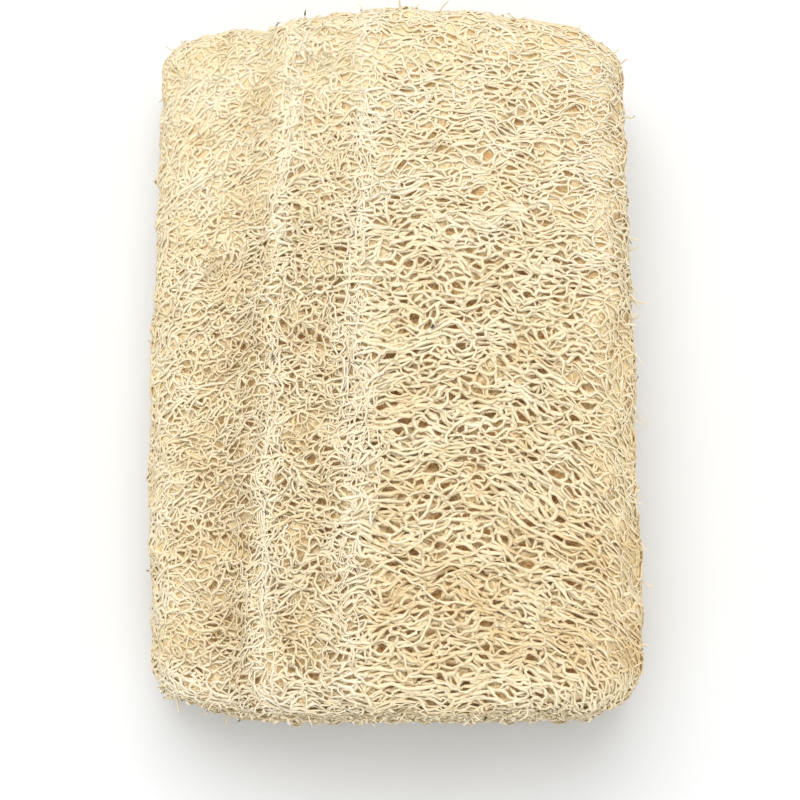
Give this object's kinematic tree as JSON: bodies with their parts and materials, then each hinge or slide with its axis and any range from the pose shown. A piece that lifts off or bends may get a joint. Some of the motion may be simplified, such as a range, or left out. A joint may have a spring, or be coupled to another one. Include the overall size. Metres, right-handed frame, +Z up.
{
  "type": "natural loofah sponge",
  "caption": "Cut length of dried luffa gourd skeleton, pressed flat into a thick rounded pad with two lengthwise creases.",
  "frame": {"origin": "bottom centre of the pad's bounding box, on the surface it lies on", "axes": "+X across the pad from the low band to the wide crowned band, +Y along the gourd's length, +Z up from the flat underside"},
  "size_m": [0.103, 0.15, 0.042],
  "materials": {
    "luffa_fibre": "dry matt plant fibre, bleached cream to straw"
  },
  "bodies": {
    "root": {"loofah_sponge": "luffa_fibre"}
  },
  "joints": []
}
